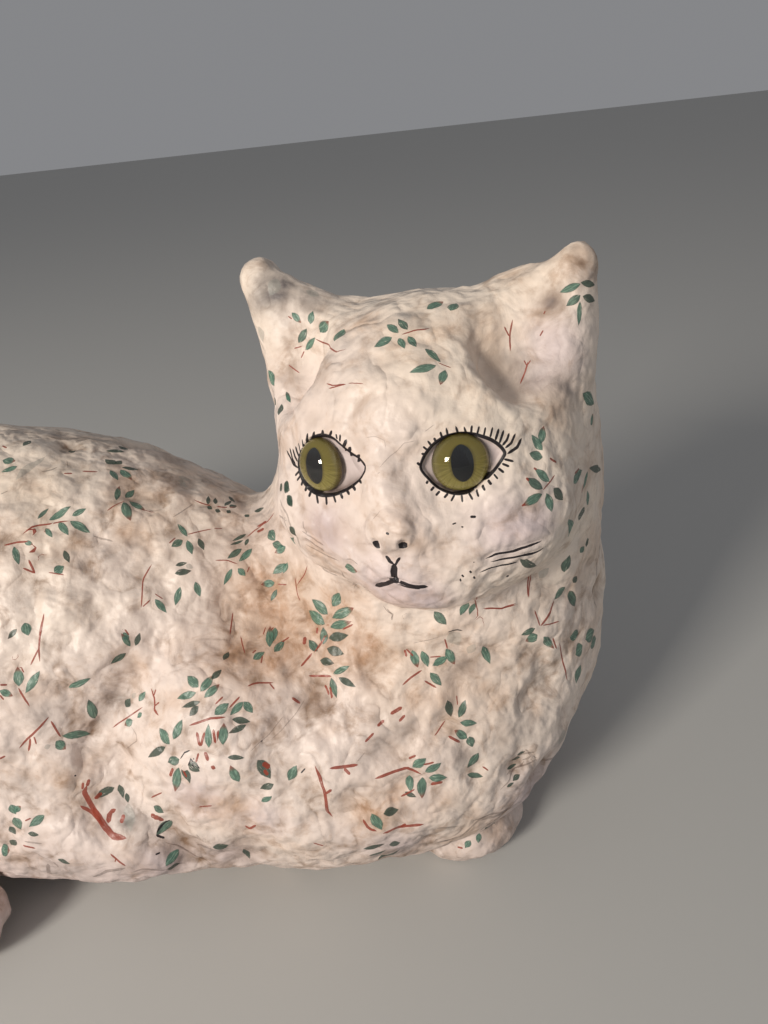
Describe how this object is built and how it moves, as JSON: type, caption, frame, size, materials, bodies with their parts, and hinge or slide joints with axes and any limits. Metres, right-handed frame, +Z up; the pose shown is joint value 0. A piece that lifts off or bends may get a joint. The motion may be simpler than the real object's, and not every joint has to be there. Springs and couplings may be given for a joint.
{
  "type": "papier-mache cat",
  "caption": "Painted papier-mache figure of a lying cat with its head turned to the side, and slit-pupilled glass eyes.",
  "frame": {"origin": "middle of the bounding box of the cat, on the ground under it", "axes": "+X along the body from rump to chest, +Z up, and the face looks towards -Y and a little to -X"},
  "size_m": [0.3489, 0.1388, 0.1758],
  "materials": {
    "painted_paper": "aged cream paint over paper pulp, with painted leaves and twigs",
    "glass_eye": "clear glossy glass over an olive iris and a dark slit pupil"
  },
  "bodies": {
    "root": {"cat_body": "painted_paper", "eye_left": "glass_eye", "eye_right": "glass_eye"}
  },
  "joints": []
}
